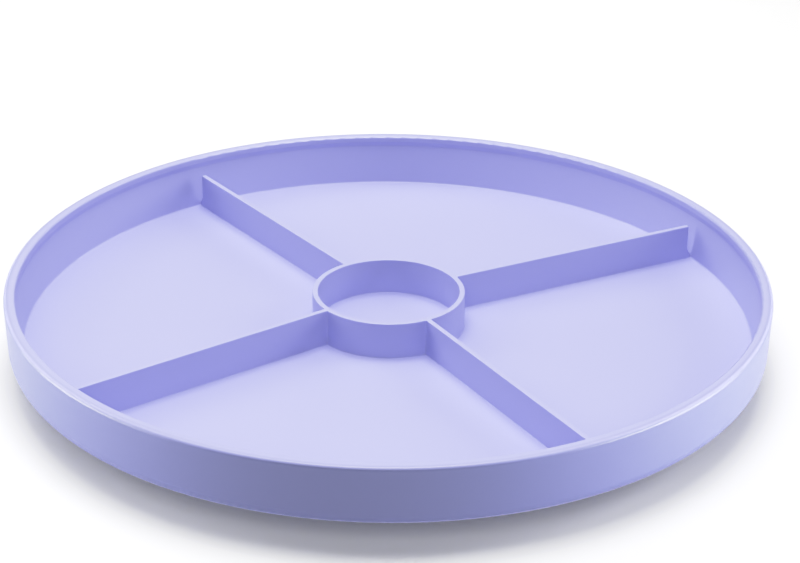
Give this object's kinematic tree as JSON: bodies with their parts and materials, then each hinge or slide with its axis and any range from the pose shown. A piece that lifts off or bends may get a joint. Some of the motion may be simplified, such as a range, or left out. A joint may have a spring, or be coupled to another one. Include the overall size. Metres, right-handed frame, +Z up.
{
  "type": "lazy susan turntable",
  "caption": "Round divided serving tray with a raised centre ring and straight dividers, turning on a low ball-bearing base with rubber feet.",
  "frame": {"origin": "centre of the table plane under the feet, on the turning axis", "axes": "+Z up along the turning axis; at rest one divider points along +Y, and the others at -8.6, 180.7 and 265.2 degrees from +X"},
  "size_m": [0.3, 0.3, 0.0356],
  "materials": {
    "tray_plastic": "satin moulded polypropylene, periwinkle",
    "base_plastic": "fine-textured moulded polypropylene, periwinkle",
    "race_steel": "turned and zinc-plated",
    "screw_steel": "zinc-plated",
    "ball_steel": "polished",
    "cage_plastic": "natural acetal",
    "bush_plastic": "natural acetal",
    "washer_nylon": "natural nylon",
    "foot_rubber": "matte moulded rubber"
  },
  "bodies": {
    "base": {"base_plate": "base_plastic", "lower_race": "race_steel", "lower_race_screws": "screw_steel", "hub_bush": "bush_plastic", "thrust_washer": "washer_nylon", "non_slip_foot_1": "foot_rubber", "non_slip_foot_2": "foot_rubber", "non_slip_foot_3": "foot_rubber", "non_slip_foot_4": "foot_rubber", "non_slip_foot_5": "foot_rubber", "non_slip_foot_6": "foot_rubber"},
    "bearing_cage": {"ball_cage": "cage_plastic", "bearing_ball_01": "ball_steel", "bearing_ball_02": "ball_steel", "bearing_ball_03": "ball_steel", "bearing_ball_04": "ball_steel", "bearing_ball_05": "ball_steel", "bearing_ball_06": "ball_steel", "bearing_ball_07": "ball_steel", "bearing_ball_08": "ball_steel", "bearing_ball_09": "ball_steel", "bearing_ball_10": "ball_steel", "bearing_ball_11": "ball_steel", "bearing_ball_12": "ball_steel", "bearing_ball_13": "ball_steel", "bearing_ball_14": "ball_steel", "bearing_ball_15": "ball_steel", "bearing_ball_16": "ball_steel"},
    "tray": {"divided_tray": "tray_plastic", "upper_race": "race_steel", "upper_race_screws": "screw_steel", "pivot_screw": "screw_steel"}
  },
  "joints": [
    {"name": "tray_spin", "type": "hinge", "parent": "base", "child": "tray", "pos_m": [0, 0, 0], "axis": [0, 0, 1], "continuous": true},
    {"name": "cage_spin", "type": "hinge", "parent": "base", "child": "bearing_cage", "pos_m": [0, 0, 0], "axis": [0, 0, 1], "continuous": true}
  ],
  "couplings": [
    {"joint": "cage_spin", "follows": "tray_spin", "ratio": 0.5}
  ]
}
